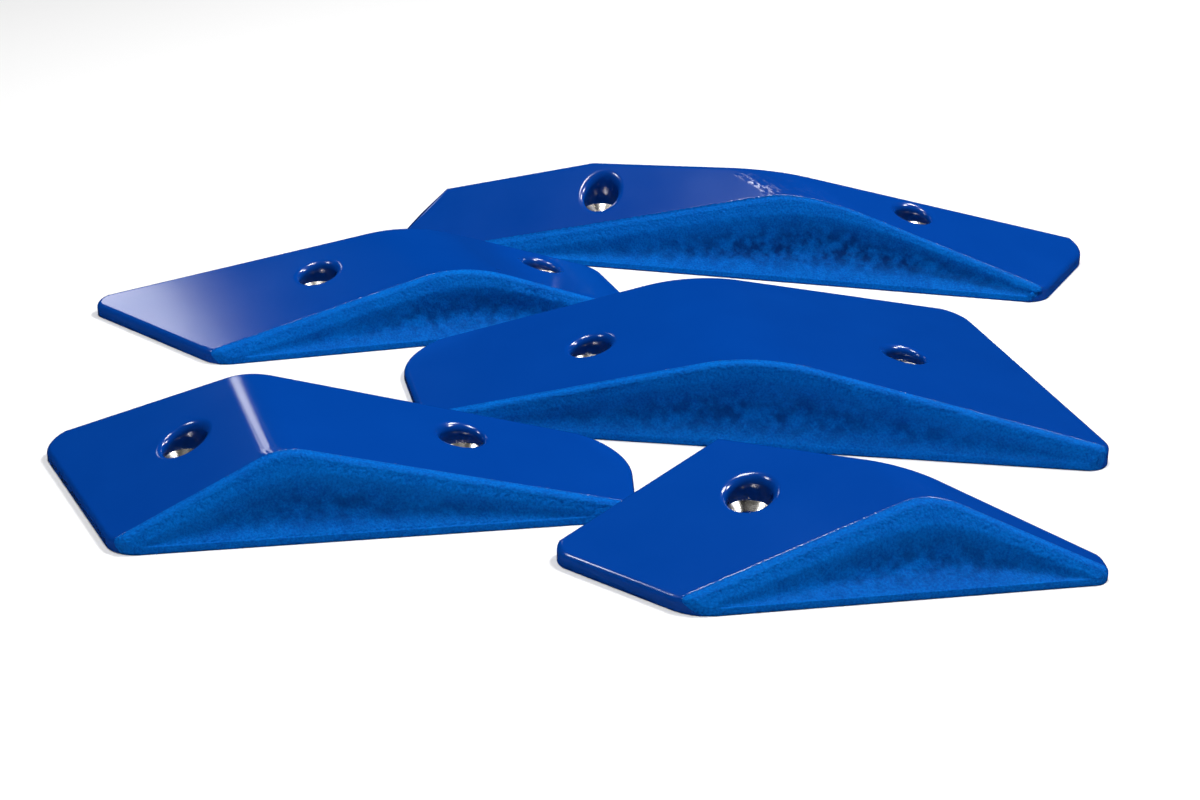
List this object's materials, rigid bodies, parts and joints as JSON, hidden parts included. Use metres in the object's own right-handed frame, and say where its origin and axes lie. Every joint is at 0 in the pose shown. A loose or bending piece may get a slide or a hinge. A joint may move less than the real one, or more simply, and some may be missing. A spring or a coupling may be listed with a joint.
{
  "type": "climbing hold set",
  "caption": "Blue cast climbing edges lying flat, each with two smooth facets, a leaning textured gripping face with a finger scoop, and counterbored bolt holes with steel cup washers.",
  "frame": {"origin": "middle of the set's bounding box on the flat backs of the holds", "axes": "+Z away from the surface the holds lie on, +X along the set's longest extent, the gripping faces look towards -Y"},
  "size_m": [0.4807, 0.4176, 0.0447],
  "materials": {
    "casting": "cast polyurethane, glossy facets and a rough gripping face",
    "washer": "pressed steel, cast in"
  },
  "bodies": {
    "front_left": {"hold_front_left": "casting", "washer_front_left_left": "washer", "washer_front_left_right": "washer"},
    "front_right": {"hold_front_right": "casting", "washer_front_right_middle": "washer"},
    "centre": {"hold_centre": "casting", "washer_centre_left": "washer", "washer_centre_right": "washer"},
    "rear_left": {"hold_rear_left": "casting", "washer_rear_left_left": "washer", "washer_rear_left_right": "washer"},
    "rear_right": {"hold_rear_right": "casting", "washer_rear_right_left": "washer", "washer_rear_right_right": "washer"}
  },
  "joints": [
    {"name": "lift_front_left", "type": "slide", "parent": "centre", "child": "front_left", "axis": [0, 0, 1], "range_m": [0, 0.15]},
    {"name": "lift_front_right", "type": "slide", "parent": "centre", "child": "front_right", "axis": [0, 0, 1], "range_m": [0, 0.15]},
    {"name": "lift_rear_left", "type": "slide", "parent": "centre", "child": "rear_left", "axis": [0, 0, 1], "range_m": [0, 0.15]},
    {"name": "lift_rear_right", "type": "slide", "parent": "centre", "child": "rear_right", "axis": [0, 0, 1], "range_m": [0, 0.15]}
  ]
}
